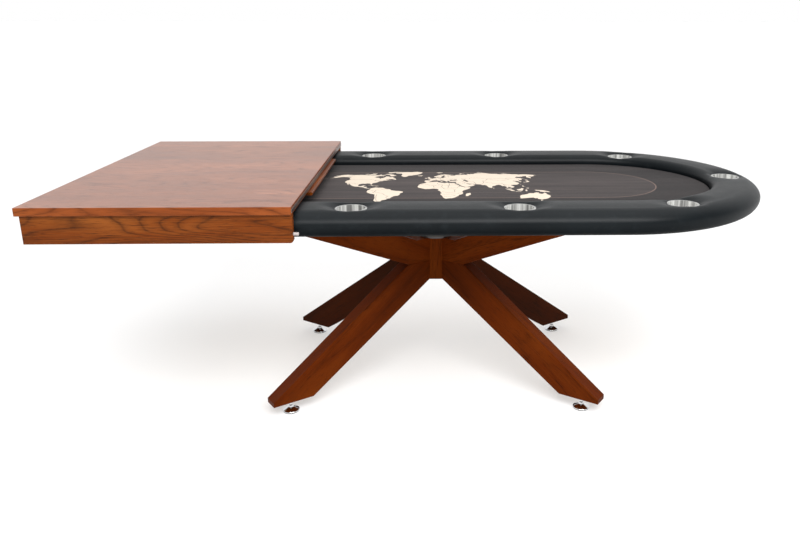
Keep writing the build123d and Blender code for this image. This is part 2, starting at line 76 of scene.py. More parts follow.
# ---- Rail section, as distances from the inner and outer faces and heights ----
RAIL_GAP = 0.0015
NOSE_TOP_DEPTH = 0.060
NOSE_BOTTOM_DEPTH = 0.046
NOSE_HEIGHT = 0.716
INNER_DEPTH = 0.034
INNER_HEIGHT = 0.7265
CROWN_RISE = 0.0015
VINYL = 0.002
VINYL_SHELL = 0.8 * VINYL
STATIONS_STRAIGHT = 300
STATIONS_ROUND = 400
STEPS_ROUND = 18
STEPS_CROWN = 30
DIP_ALONG = 0.128
DIP_ACROSS = 0.078
DIP_STEEPNESS = 2.4
LIP_THICKNESS = 0.0012
LIP_SINK = 0.0006
PUCKER = 0.0006
PUCKER_COUNT = 9
PUCKER_START = 0.01
PUCKER_FADE = 0.02
VINYL_HOLE_R = CUP_LIP_R - 0.003
FOAM_HOLE_R = CUP_LIP_R - 0.005
HOLE_STEPS = 64
HOLE_MARGIN = 0.01


def oval_point(straight, radius, turn):
    """Point and outward direction of a racetrack, at a turn from 0 to 4: side, end, side, end."""
    leg, share = int(turn) % 4, turn % 1.0
    if leg == 0:
        return Vector((straight * (2 * share - 1), -radius)), Vector((0, -1))
    if leg == 2:
        return Vector((straight * (1 - 2 * share), radius)), Vector((0, 1))
    angle = math.pi * share - math.pi / 2 + (math.pi if leg == 3 else 0)
    out = Vector((math.cos(angle), math.sin(angle)))
    centre = Vector((straight if leg == 1 else -straight, 0))
    return centre + out * radius, out


def turns():
    """Stations round a racetrack."""
    found = []
    for leg in range(4):
        count = STATIONS_STRAIGHT if leg in (0, 2) else STATIONS_ROUND
        found += [leg + step / count for step in range(count)]
    return found


def rail_section(skin):
    """Rail's surface from its underside, over the top and down to the cloth: (side, reach, height).

    Side 1 measures reach inwards from the outer face, side 0 outwards from the inner face, and
    side 2 is the crown, with reach as the share of the way across it."""
    rail_top = RAIL_HIGH.z - skin
    belly = NOSE_HEIGHT - RAIL_LOW.z - skin
    quarter = [90 * step / STEPS_ROUND for step in range(STEPS_ROUND)]
    points = []

    def arc(side, turns, depth, level, rise):
        for turn in turns:
            angle = math.radians(turn)
            reach = depth * (1 - math.cos(angle)) + skin * math.cos(angle)
            points.append((side, reach, level + rise * math.sin(angle)))

    arc(1, [turn - 90 for turn in quarter], NOSE_BOTTOM_DEPTH, NOSE_HEIGHT, belly)
    arc(1, quarter, NOSE_TOP_DEPTH, NOSE_HEIGHT, rail_top - CROWN_RISE - NOSE_HEIGHT)
    for step in range(STEPS_CROWN + 1):
        share = step / STEPS_CROWN
        points.append((2, share, rail_top - CROWN_RISE * (1 - math.sin(math.pi * share))))
    arc(0, quarter[::-1], INNER_DEPTH, INNER_HEIGHT, rail_top - CROWN_RISE - INNER_HEIGHT)
    points.append((0, skin, FRAME_TOP + VINYL))
    return points


def place_section(point, inner, outer):
    """Plan position of a section point between the rail's inner and outer faces."""
    side, reach, _ = point
    across = outer - inner
    width = across.length
    if side == 0:
        return inner + across * (reach / width)
    if side == 1:
        return outer - across * (reach / width)
    start = outer - across * (NOSE_TOP_DEPTH / width)
    end = inner + across * (INNER_DEPTH / width)
    return start.lerp(end, reach)


def dips(x, y, z, skin):
    """Heights of the rail's top once it is drawn down to the cups' lips."""
    level = CUP_HIGH.z - LIP_THICKNESS - LIP_SINK - skin
    for cup_x, cup_y in CUP_PLACES:
        along = np.array((1.0, 0.0))
        if abs(cup_x) > RAIL_STRAIGHT:
            out = np.array((cup_x - math.copysign(RAIL_STRAIGHT, cup_x), cup_y))
            out /= np.linalg.norm(out)
            along = np.array((-out[1], out[0]))
        across = np.array((-along[1], along[0]))
        dx, dy = x - cup_x, y - cup_y
        u, v = dx * along[0] + dy * along[1], dx * across[0] + dy * across[1]
        r = np.hypot(u, v)
        beyond = np.maximum(r - CUP_LIP_R, 0.0)
        scale = np.hypot(u / DIP_ALONG, v / DIP_ACROSS) / np.maximum(r, 1e-6)
        share = np.clip(beyond * scale / (1 - CUP_LIP_R * scale).clip(0.05), 0, 1)
        ease = 1 - (1 - share) ** DIP_STEEPNESS
        on_top = z > NOSE_HEIGHT
        waves = PUCKER * np.cos(PUCKER_COUNT * np.arctan2(v, u))
        pucker = waves * np.exp(-beyond / PUCKER_FADE) * (share > 0)
        lowered = level + (z - level) * ease + pucker * np.clip(beyond / PUCKER_START, 0, 1)
        z = np.where(on_top & (z > level), np.minimum(z, lowered), z)
    return z


def rail_points(section, skin):
    """Plan and height arrays of a rail surface, one row for each station."""
    rows = []
    for turn in turns():
        inner, _ = oval_point(CLOTH_STRAIGHT, CLOTH_HALF_WIDTH + RAIL_GAP, turn)
        outer, _ = oval_point(RAIL_STRAIGHT, RAIL_HALF_WIDTH, turn)
        rows.append([(*place_section(point, inner, outer), point[2]) for point in section])
    grid = np.array(rows)
    grid[..., 2] = dips(grid[..., 0], grid[..., 1], grid[..., 2], skin)
    return grid


def grid_faces(rows, columns, closed):
    """Quads of a grid whose rows join up into a ring, and whose columns do too if it is closed."""
    faces = []
    for row in range(rows):
        after = (row + 1) % rows
        for column in range(columns if closed else columns - 1):
            right = (column + 1) % columns
            here = row * columns
            there = after * columns
            faces.append((here + column, there + column, there + right, here + right))
    return faces


def band(lower, upper):
    """Quads between two rings of point numbers."""
    after = [*range(1, len(lower)), 0]
    return [(lower[i], lower[j], upper[j], upper[i]) for i, j in enumerate(after)]


def add_mesh(name, points, faces, smooth=True):
    """Object made from points and faces, in the CAD frame."""
    mesh = bpy.data.meshes.new(name)
    mesh.from_pydata([tuple(p) for p in points], [], faces)
    mesh.polygons.foreach_set("use_smooth", [smooth] * len(mesh.polygons))
    mesh.update()
    made = bpy.data.objects.new(name, mesh)
    bpy.context.scene.collection.objects.link(made)
    return made


def stand_in(made, body, node):
    """Let a new piece ride on a body and take the place of a CAD node."""
    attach(made, body)
    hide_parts(node)


def thicken(made, thickness):
    """Give a surface its thickness, on its inner side."""
    shell = made.modifiers.new("thickness", "SOLIDIFY")
    shell.thickness = thickness
    shell.offset = -1


def rail_vinyl():
    """Vinyl drawn over the rail, with its edge snapped to a clean circle under each cup's lip."""
    grid = rail_points(rail_section(0.0), 0.0)
    rows, columns, _ = grid.shape
    flat = grid.reshape(-1, 3)
    x, y, z = flat[:, 0].copy(), flat[:, 1].copy(), flat[:, 2]
    inside = np.zeros(len(flat), bool)
    for cup_x, cup_y in CUP_PLACES:
        inside |= (np.hypot(x - cup_x, y - cup_y) < VINYL_HOLE_R) & (z > NOSE_HEIGHT)
    faces = [f for f in grid_faces(rows, columns, False) if not all(inside[i] for i in f)]
    rim = np.zeros(len(flat), bool)
    rim[[i for f in faces for i in f if inside[i]]] = True
    for cup_x, cup_y in CUP_PLACES:
        r = np.hypot(x - cup_x, y - cup_y)
        near = rim & (r < VINYL_HOLE_R)
        flat[near, 0] = cup_x + (x[near] - cup_x) / r[near] * VINYL_HOLE_R
        flat[near, 1] = cup_y + (y[near] - cup_y) / r[near] * VINYL_HOLE_R
    used = sorted({i for f in faces for i in f})
    renumber = {old: new for new, old in enumerate(used)}
    flat[:, 0] += HUB_X
    made = add_mesh("rail_vinyl", flat[used], [tuple(renumber[i] for i in f) for f in faces])
    thicken(made, VINYL_SHELL)
    stand_in(made, "table", "rail_cover")
    return made


def cut_round_holes(made, radius, low, high):
    """Take an upright round hole out of a piece at each cup."""
    rings = []
    faces = []
    steps = HOLE_STEPS
    for cup_x, cup_y in CUP_PLACES:
        start = len(rings)
        for height in (low, high):
            for step in range(steps):
                angle = 2 * math.pi * step / steps
                x = HUB_X + cup_x + radius * math.cos(angle)
                rings.append((x, cup_y + radius * math.sin(angle), height))
        bottom, top = range(start, start + steps), range(start + steps, start + 2 * steps)
        faces += [tuple(reversed(bottom)), tuple(top), *band(bottom, top)]
    cutter = add_mesh("cutter", rings, faces, smooth=False)
    modifier = made.modifiers.new("holes", "BOOLEAN")
    modifier.operation = "DIFFERENCE"
    modifier.solver = "EXACT"
    modifier.object = cutter
    evaluated = made.evaluated_get(bpy.context.evaluated_depsgraph_get())
    result = bpy.data.meshes.new_from_object(evaluated)
    made.modifiers.clear()
    made.data = result
    bpy.data.objects.remove(cutter)


def rail_foam():
    """Foam under the vinyl, sitting on and round the plywood ring."""
    section = rail_section(VINYL)
    ring_reach = RAIL_HALF_WIDTH - FRAME_HALF_WIDTH
    section = [p for p in section if not (p[0] == 1 and p[1] > ring_reach and p[2] < NOSE_HEIGHT)]
    section[-1] = (0, VINYL, FRAME_TOP)
    section.append((1, ring_reach, FRAME_TOP))
    grid = rail_points(section, VINYL)
    rows, columns, _ = grid.shape
    flat = grid.reshape(-1, 3)
    flat[:, 0] += HUB_X
    made = add_mesh("rail_padding", flat, grid_faces(rows, columns, True))
    cut_round_holes(made, FOAM_HOLE_R, FRAME_TOP - HOLE_MARGIN, RAIL_HIGH.z + HOLE_MARGIN)
    stand_in(made, "table", "rail_foam")
    return made


# ---- Playing cloth ----
CLOTH_THICKNESS = 0.0013
CLOTH_ROLL = 0.003
ROLL_BENDS = (0.4, 0.8, 1.2, math.pi / 2)
CLOTH_STEPS = 96
LINE_STEPS = 72
MERGE_DISTANCE = 1e-6
LINE_HALF_WIDTH = 0.220
LINE_HALF_LENGTH = 0.800
LINE_WIDTH = 0.0045
MAP_MIDDLE = (-0.0164, -0.0965)
MAP_STEP = (0.00277, 0.00373)
MAP_PINCH = 0.42
MAP_STRETCH = 0.06
BORDER = 0.0013
COAST_SPLITS = 2
COAST_ROUGHNESS = 0.11
GROUND, INNER_GROUND, LAND, LINE = range(4)

# Coasts as longitude and latitude, in degrees
COASTS = {
    "north_america": [
        (-168, 66), (-162, 67), (-166, 68.5), (-156, 71.3), (-141, 69.6), (-128, 70), (-114, 68),
        (-101, 67.8), (-95, 68.5), (-94, 71.5), (-90, 68.8), (-85, 69.5), (-81, 67.5), (-86, 66.3),
        (-93, 62), (-94.5, 59), (-88, 56.5), (-82.3, 55.2), (-82, 52.8), (-79.5, 51.3), (-79, 54.5),
        (-76.7, 57), (-77.5, 62.3), (-73.5, 62.3), (-69.5, 61), (-69.5, 58.8), (-66, 58.8),
        (-64.5, 60.3), (-61.8, 57), (-56, 52.5), (-60, 50.2), (-66.5, 50.2), (-70, 47), (-65, 49.2),
        (-64.5, 46.5), (-60.5, 46), (-66.3, 43.8), (-70.5, 43), (-70.2, 41.7), (-74, 40.6), (-75.5, 38),
        (-75.7, 35.3), (-81.3, 31.3), (-80.2, 27), (-81, 25.2), (-82.7, 28), (-84, 30), (-89, 30.3),
        (-90, 29.1), (-94, 29.6), (-97.3, 27.5), (-97.6, 22.5), (-95.5, 18.8), (-92, 18.6), (-90.5, 21),
        (-87, 21.5), (-88.5, 15.8), (-83.3, 15), (-83.7, 11.2), (-81.5, 9), (-77.3, 8.6), (-80, 7.4),
        (-85.8, 10.5), (-87.6, 13), (-92.3, 14.5), (-95, 16), (-99.8, 16.8), (-105.5, 20),
        (-105.8, 22.5), (-109.5, 25.8), (-114.7, 31.6), (-112.8, 28), (-110, 23), (-114.2, 27.8),
        (-117, 32.5), (-120.6, 34.5), (-124.3, 40.3), (-124, 46), (-123, 48.8), (-127.5, 51),
        (-130.5, 54.8), (-134, 58), (-139.8, 59.7), (-147, 60.8), (-151.5, 59.5), (-158.5, 56.3),
        (-164, 54.6), (-158, 58.5), (-162, 59), (-165.5, 61.5), (-161.5, 64.3), (-166, 64.6),
    ],
    "aleutians": [(-163.5, 54.6), (-170, 52.9), (-178, 51.9), (-170, 52.2)],
    "greenland": [
        (-73, 78.2), (-66, 80.8), (-50, 82.4), (-30, 83.5), (-20, 81.5), (-18, 78), (-21, 74),
        (-24, 71), (-32, 68.2), (-40, 65), (-43.5, 60), (-48.5, 61.2), (-53, 66), (-54, 70),
        (-58, 75.3), (-68, 76),
    ],
    "baffin": [
        (-62, 66.8), (-68, 63), (-73, 64.5), (-73.5, 68), (-80, 70), (-88, 71.5), (-85, 73.5),
        (-78, 72.8), (-70, 70.5),
    ],
    "ellesmere": [(-62, 82.5), (-76, 83), (-91, 81.5), (-88, 78.5), (-80, 76.3), (-76, 79)],
    "victoria": [(-105, 73), (-102, 69.8), (-113, 68.8), (-117, 70.3), (-114, 73)],
    "banks": [(-119, 74), (-124.5, 74), (-125, 71.8), (-119.5, 71.5)],
    "melville": [(-106, 75.2), (-115, 75), (-116, 76.5), (-108, 76.5)],
    "newfoundland": [(-55.5, 51.5), (-53, 47), (-59.2, 47.6)],
    "southampton": [(-81, 64), (-85, 66), (-87, 63.8)],
    "cuba": [(-84.9, 21.9), (-80, 23), (-74.2, 20.2), (-77.7, 19.9), (-81, 22)],
    "hispaniola": [(-74.4, 18.4), (-72.8, 19.9), (-68.4, 18.6), (-71.5, 17.8)],
    "south_america": [
        (-77.3, 8.6), (-71.5, 12.3), (-68, 11.2), (-61.9, 10.7), (-57, 6), (-51.5, 4.3), (-50, 0.2),
        (-44, -2.7), (-38.5, -3.8), (-35, -6), (-35.2, -9), (-39, -13.5), (-39, -17.8), (-41.2, -22),
        (-46.5, -24.2), (-48.6, -27), (-52.5, -33), (-57, -34.8), (-57, -36.5), (-62.2, -38.9),
        (-65, -41), (-67.5, -46), (-66, -47.8), (-69, -51), (-65.3, -54.8), (-71.5, -54), (-75.2, -50),
        (-74, -44), (-73.7, -37.5), (-71.5, -30), (-70.3, -18.4), (-76.2, -13.8), (-81, -6),
        (-80.2, -2.8), (-80, 0.8), (-77.5, 3.8),
    ],
    "africa": [
        (-5.8, 35.8), (-1.5, 35.4), (10, 37.2), (11, 34), (15.5, 32.3), (20, 31), (22, 32.8), (29, 31),
        (32.5, 31.2), (32.6, 29.8), (35.7, 24), (37.2, 20.8), (39, 16), (43.3, 11.8), (51.2, 11.8),
        (47.5, 4.3), (41.3, -2), (39, -6.5), (40.5, -11), (40.5, -15.2), (35.5, -20), (35.3, -24),
        (32, -29), (27.5, -33.3), (20, -34.8), (18.3, -33.8), (15, -26.5), (12, -18), (13.6, -12.5),
        (12.2, -6), (8.9, -1), (9.6, 3.8), (4.5, 6.3), (-2, 4.8), (-7.6, 4.4), (-13.2, 8.8),
        (-16.8, 12.6), (-17.4, 14.7), (-16.3, 19.2), (-17, 21), (-13, 27.7), (-9.8, 30), (-6.8, 34),
    ],
    "madagascar": [(49.3, -12), (50.4, -15.6), (47.2, -25), (44, -24.8), (44, -20), (44.5, -16.2)],
    "eurasia": [
        (-9, 37.2), (-9.3, 39), (-8.8, 43.2), (-1.8, 43.4), (-1.3, 46), (-4.7, 48.4), (1.7, 50.9),
        (4.6, 53), (8.6, 54), (8.2, 57), (10.6, 57.6), (10.8, 54.3), (14.3, 54), (19.5, 54.4),
        (21.5, 57.5), (24.3, 57.2), (23.5, 59.2), (29.5, 59.8), (23, 60), (21.5, 61), (25.3, 65),
        (22, 65.8), (17.3, 61.5), (18.8, 60), (16.5, 57), (14.2, 55.5), (12.8, 55.6), (11, 59),
        (8, 58.1), (5.3, 59), (5.2, 62), (11, 64.6), (14.5, 68), (19.5, 70), (25.7, 71.1), (31, 70.3),
        (41, 67.5), (40, 66.2), (33.5, 66.7), (37, 64), (44, 66.2), (44, 68.4), (54, 68.3),
        (60.5, 69.8), (68, 68.3), (67, 71.5), (70, 73), (73, 71.5), (72.5, 68.5), (75, 72.7),
        (81, 72.2), (87, 75), (98, 76.2), (104, 77.7), (113, 74), (127, 73), (130, 71), (140, 72.5),
        (152, 71), (161, 69.5), (170, 70), (180, 69), (190, 66.2), (181, 64.8), (178, 62.5), (170, 60),
        (163.5, 59.8), (162, 55), (156.8, 51), (155.7, 56.5), (164, 62.3), (156.5, 61.5), (154, 59.5),
        (143, 59.3), (135.3, 54.8), (141, 53), (140.3, 48.5), (135.5, 44), (131, 42.8), (127.6, 39.8),
        (129.4, 36.5), (129, 35.2), (126.4, 34.5), (126.7, 37.5), (124.5, 39.9), (121.4, 39.2),
        (121.5, 40.8), (117.8, 39), (122.5, 37.2), (119.3, 35), (122, 31.5), (121.6, 28.5), (118, 24.5),
        (113.5, 22.2), (108.3, 21.6), (106, 19), (109.3, 13), (107, 10.4), (104.8, 8.8), (100.9, 13.4),
        (99.3, 9.8), (103.4, 4), (103.8, 1.4), (100.5, 5.5), (98.3, 8.3), (98.6, 14), (97, 17),
        (94.3, 16), (91.5, 22.5), (88.5, 21.8), (86.5, 20), (80.3, 15.5), (79.9, 10.5), (77.5, 8.1),
        (74.5, 13.5), (72.5, 21.3), (69, 21.2), (67, 24.8), (61.5, 25.1), (57, 26.8), (51.5, 27.9),
        (48, 30), (50.2, 26.5), (51.5, 24.5), (56.3, 26.2), (59.8, 22.5), (55, 17.5), (45, 12.8),
        (42.7, 15.5), (39, 21.5), (34.9, 29.4), (34.3, 31.3), (36, 36.7), (30.5, 36.4), (27.3, 37),
        (26.2, 39.5), (29.2, 41.2), (35, 42), (41.5, 41.5), (37, 45), (39.3, 47.2), (35, 46.3),
        (33.5, 44.6), (31, 46.5), (28, 43.5), (28.9, 41.5), (26, 40.7), (23, 40.5), (24, 37.8),
        (22.6, 36.5), (19.5, 41.5), (13.7, 45.6), (12.5, 44), (18.4, 40), (16, 38), (12.3, 41.7),
        (8.8, 44.4), (3.2, 43.2), (0, 39.5), (-2.1, 36.8), (-5.6, 36),
    ],
    "great_britain": [
        (-5.5, 50.1), (1.3, 51.2), (1.6, 52.8), (-1.5, 55), (-2, 57.6), (-4.8, 58.6), (-5.6, 56),
        (-3, 54.3), (-4.8, 51.7),
    ],
    "ireland": [(-6.2, 52.2), (-9.8, 51.6), (-9.5, 54.2), (-6.2, 55.2)],
    "iceland": [(-22.5, 64), (-24, 65.6), (-16, 66.4), (-13.7, 65), (-18.5, 63.4)],
    "svalbard": [(11, 79.6), (25, 80.3), (20, 77.5), (15, 76.8)],
    "novaya_zemlya": [(52, 71), (57, 74.5), (68, 76.8), (60, 74.5), (56.5, 71)],
    "severnaya_zemlya": [(95, 79.5), (101, 81), (105, 79)],
    "new_siberian": [(138, 75.5), (146, 75.8), (150, 75)],
    "sakhalin": [(142, 46.2), (142, 54), (143.5, 52), (143.3, 48)],
    "hokkaido": [(140, 41.8), (141.7, 45.3), (145.3, 43.3), (142, 42.4)],
    "honshu": [
        (131, 34), (136, 35.7), (140, 40.5), (141.5, 41), (141.8, 38.5), (140, 35.3), (135.7, 33.6),
    ],
    "kyushu": [(130, 33.3), (131.8, 33.2), (130.8, 31.2)],
    "taiwan": [(120.1, 23), (121.7, 25), (121, 22)],
    "luzon": [(120, 16), (120.8, 18.5), (122.2, 18.3), (121.6, 14.5), (124, 13), (121, 13.7)],
    "mindanao": [(122, 7.2), (124.5, 8.5), (126.4, 8), (125.6, 5.8)],
    "borneo": [(109, 1.5), (113, 3.2), (117, 7), (119, 5), (117.5, 1), (116, -3.8), (110.3, -2.8)],
    "sumatra": [(95.3, 5.5), (98.5, 3.8), (103.5, 0), (106, -3), (105.8, -5.8), (102, -4), (98.8, 0.5)],
    "java": [(105.2, -6.6), (108.5, -6.6), (114.4, -7.7), (114.4, -8.7), (108, -7.8)],
    "sulawesi": [
        (119.5, -5.5), (119.8, 0.5), (125, 1.5), (121, 0.3), (123, -1), (121.5, -2), (122.6, -5),
    ],
    "new_guinea": [
        (131, -0.8), (134, -0.9), (138, -1.7), (144.5, -3.9), (147.8, -6.5), (150.7, -10.4),
        (146, -8.8), (142, -9.2), (138, -8.3), (137.8, -5.3), (133, -4),
    ],
    "sri_lanka": [(79.9, 8.5), (81.5, 8.5), (80.8, 6)],
    "sicily": [(12.5, 38), (15.6, 38.2), (15, 36.7)],
    "sardinia": [(8.3, 41), (9.7, 41), (9.3, 39)],
    "australia": [
        (113.7, -22.5), (116.5, -20.7), (122, -18), (125, -14.5), (129.5, -14.9), (132.5, -11.5),
        (136.9, -12.2), (135.5, -15), (140.8, -17.5), (142.5, -11), (145.5, -15), (146.5, -19),
        (150.8, -23), (153.4, -27.5), (152.5, -32.3), (150, -37.3), (146.4, -39), (140, -37.8),
        (138, -33), (135.5, -34.8), (131.2, -31.5), (124, -33.3), (118, -35), (115.2, -34.2),
        (115.8, -31.8), (113.5, -26),
    ],
    "tasmania": [(144.7, -40.8), (148.3, -41), (147, -43.5)],
}
LAKES = {
    "caspian": [
        (50, 46.5), (53, 46.7), (51, 44.5), (53.5, 41), (53.8, 37.2), (49.5, 37.5), (49.3, 40.5),
        (47.2, 44),
    ],
}

# Land borders, drawn as thin lines
BORDERS = [
    [(-123, 49), (-95, 49), (-89, 48), (-82.5, 45.5), (-83, 42), (-79, 43.2), (-71, 45.2), (-67, 45)],
    [(-117, 32.5), (-106.5, 31.7), (-103, 29), (-97.3, 25.9)],
    [(-141, 69.6), (-141, 60.3), (-135, 59.5), (-130, 56)],
    [(-51.5, 4.3), (-60, 5), (-64, 1.5), (-69.5, 1), (-70, -4.2), (-73, -9.5), (-66, -10), (-60.5, -14)],
    [(-60.5, -14), (-58, -19.8), (-54.5, -24), (-57.6, -30.2), (-53.5, -33.5)],
    [(-68, -17.5), (-69, -24), (-70.3, -33), (-71.5, -40), (-70, -52)],
    [(-70, -4.2), (-75, -0.2), (-79, 1.2)],
    [(-16.5, 21), (-8.7, 27.5), (-4, 24), (4, 19), (12, 23.5), (24, 20), (25, 22), (37, 22)],
    [(9, 31), (9.5, 26), (12, 23.5)],
    [(25, 31.3), (25, 22)],
    [(4, 19), (3.6, 12), (14, 13), (15.5, 23)],
    [(24, 20), (22, 11), (34, 9.5), (36.5, 14.5), (38.4, 18)],
    [(14, 13), (18, 4), (27.5, 5), (31, 2), (29.5, -4.5), (30.8, -8.3), (22, -11), (12.6, -6)],
    [(12.2, -17.3), (21, -18), (25, -17.8), (33, -15.5), (39.5, -11)],
    [(16.8, -28.6), (20, -24.8), (25.5, -25.7), (29.4, -22.2), (32.5, -26)],
    [(-1.8, 43.2), (3, 42.4)],
    [(3, 51), (8, 49), (7.5, 44.2)],
    [(14.3, 53.8), (15, 51), (17, 48.5), (22, 48.8), (28, 48), (29, 45.5)],
    [(28, 56), (31, 53), (34, 52), (40, 49.6), (38.5, 47.4)],
    [(28.5, 60.5), (31.5, 62.8), (29.5, 69.3), (20.3, 69), (12.2, 62.5), (11.4, 59.3)],
    [(49, 46.6), (47, 50), (60, 51), (62, 54), (71, 54.3), (77, 54), (87.3, 49.2)],
    [(87.3, 49.2), (98, 52), (116.5, 49.8)],
    [(116.5, 49.8), (120, 53.3), (127, 50), (135, 48.3), (131, 43.2)],
    [(87.3, 49.2), (97, 42.7), (105, 41.8), (112, 44.5), (119.5, 47), (116.5, 49.8)],
    [(87.3, 49.2), (80.5, 42.2), (74, 39.5), (79, 32.5), (88, 27.8), (97, 28.2), (98, 24), (106, 23)],
    [(74.8, 37), (74, 32), (70, 27.8), (68.7, 24)],
    [(53.9, 37.5), (61, 36.5), (61.5, 30), (61.6, 25.5)],
    [(44.5, 39.5), (46, 35), (48, 30.5)],
    [(35.2, 30), (39, 32), (44, 29.5), (47.5, 29.5)],
    [(98, 24), (98.5, 15.5), (102, 18), (105, 14.5)],
]


def on_map(lon, lat):
    """Place on the cloth of a longitude and latitude, on a projection that narrows towards the poles."""
    narrowed = lon * (1 - MAP_PINCH * (lat / 90) ** 2)
    raised = lat * (1 + MAP_STRETCH * (lat / 90) ** 2)
    return Vector((MAP_MIDDLE[0] + MAP_STEP[0] * narrowed, MAP_MIDDLE[1] + MAP_STEP[1] * raised))


def rough_coast(points):
    """Coast with its long runs broken up by small inlets."""
    for _ in range(COAST_SPLITS):
        split = []
        for here, after in zip(points, points[1:] + points[:1]):
            run = after - here
            shift = COAST_ROUGHNESS * RANDOM.uniform(-1, 1)
            split += [here, (here + after) / 2 + Vector((-run.y, run.x)) * shift]
        points = split
    return points


def border_strip(start, end):
    """Thin rectangle along one run of a border."""
    run = (end - start).normalized()
    side = Vector((-run.y, run.x)) * BORDER / 2
    return [start - side, end - side, end + side, start + side]


def racetrack(straight, radius, steps):
    """Outline of a racetrack, with its ends divided into steps."""
    outline = []
    for side in (1, -1):
        for step in range(steps + 1):
            angle = -math.pi / 2 + math.pi * step / steps
            reach = straight + radius * math.cos(angle)
            outline.append(Vector((side * reach, side * radius * math.sin(angle))))
    return outline


def counterclockwise(outline):
    """The outline, turned round if it runs clockwise, because the triangulation takes one sense only."""
    twice_area = sum(a.cross(b) for a, b in zip(outline, outline[1:] + outline[:1]))
    return outline if twice_area > 0 else outline[::-1]


def playing_cloth():
    """Printed cloth stretched over the board, its map and line cut into the same flat mesh."""
    straight = LINE_HALF_LENGTH - LINE_HALF_WIDTH
    kinds = [("top", racetrack(CLOTH_STRAIGHT, CLOTH_HALF_WIDTH - CLOTH_ROLL, CLOTH_STEPS))]
    kinds.append(("line", racetrack(straight, LINE_HALF_WIDTH, LINE_STEPS)))
    kinds.append(("inner", racetrack(straight, LINE_HALF_WIDTH - LINE_WIDTH, LINE_STEPS)))
    for coast in COASTS.values():
        kinds.append(("land", rough_coast([on_map(*place) for place in coast])))
    for lake in LAKES.values():
        kinds.append(("lake", rough_coast([on_map(*place) for place in lake])))
    for border in BORDERS:
        places = [on_map(*place) for place in border]
        kinds += [("border", border_strip(a, b)) for a, b in zip(places, places[1:])]
    vertices = []
    outlines = []
    for _, outline in kinds:
        outlines.append(list(range(len(vertices), len(vertices) + len(outline))))
        vertices += counterclockwise(outline)
    cut = geometry.delaunay_2d_cdt(vertices, [], outlines, 1, MERGE_DISTANCE, True)
    points, _, faces, _, _, sources = cut
    materials = []
    for source in sources:
        inside = {kinds[i][0] for i in source}
        if "land" in inside and not inside & {"lake", "border"}:
            materials.append(LAND)
        elif "line" in inside and "inner" not in inside:
            materials.append(LINE)
        else:
            materials.append(INNER_GROUND if "inner" in inside else GROUND)
    spots = [(p.x + HUB_X, p.y, CLOTH_TOP) for p in points]
    rolled = add_skirt(spots, faces)
    materials += [GROUND] * (len(faces) - len(materials))
    made = add_mesh("cloth_printed", rolled, faces)
    made.data.polygons.foreach_set("material_index", materials)
    thicken(made, CLOTH_THICKNESS)
    stand_in(made, "table", "playing_cloth")
    return made


def add_skirt(spots, faces):
    """Roll the cloth over the board's edge and down to the rail frame, adding to spots and faces."""
    runs = [(a, b) for face in faces for a, b in zip(face, list(face[1:]) + [face[0]])]
    known = set(runs)
    after = {a: b for a, b in runs if (b, a) not in known}
    first = next(iter(after))
    loop = [first]
    while after[loop[-1]] != first:
        loop.append(after[loop[-1]])
    steps = [(CLOTH_ROLL * math.sin(bend), CLOTH_ROLL * (1 - math.cos(bend))) for bend in ROLL_BENDS]
    steps.append((CLOTH_ROLL, CLOTH_TOP - FRAME_TOP))
    previous = loop
    here = range(len(loop))
    after = [*here[1:], 0]
    for out, down in steps:
        ring = []
        for index in loop:
            x, y, z = spots[index]
            nearest = Vector((max(-CLOTH_STRAIGHT, min(CLOTH_STRAIGHT, x - HUB_X)), 0.0))
            away = (Vector((x - HUB_X, y)) - nearest).normalized()
            ring.append(len(spots))
            spots.append((x + away.x * out, y + away.y * out, z - down))
        faces += [(previous[j], previous[i], ring[i], ring[j]) for i, j in zip(here, after)]
        previous = ring
    return spots


SLAB_STEPS = 64
WELD_DISTANCE = 0.00005
EASE_SEGMENTS = 3


def soft_slab(name, node, edge):
    """Slab of a soft sheet with eased edges in the place of its plain CAD solid."""
    low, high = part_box(node)
    straight = (high.x - low.x) / 2 - high.y
    levels = [(edge, low.z), (0, low.z + edge), (0, high.z - edge), (edge, high.z)]
    points = []
    for inset, height in levels:
        points += [(HUB_X + p.x, p.y, height) for p in racetrack(straight, high.y - inset, SLAB_STEPS)]
    count = len(points) // len(levels)
    faces = [tuple(range(count - 1, -1, -1)), tuple(range(len(points) - count, len(points)))]
    for here in range(0, len(points) - count, count):
        faces += band(range(here, here + count), range(here + count, here + 2 * count))
    made = add_mesh(name, points, faces, smooth=False)
    stand_in(made, "table", node)
    return made


def copy_eased(name, node, body, ease):
    """Copy of a small CAD node with its edges softened, as pressed felt has them."""
    source = NODES[node]
    made = bpy.data.objects.new(name, source.data.copy())
    made.data.materials.clear()
    bpy.context.scene.collection.objects.link(made)
    weld = made.modifiers.new("weld", "WELD")
    weld.merge_threshold = WELD_DISTANCE
    bevel = made.modifiers.new("ease", "BEVEL")
    bevel.width = ease
    bevel.segments = EASE_SEGMENTS
    stand_in(made, body, node)
    return made


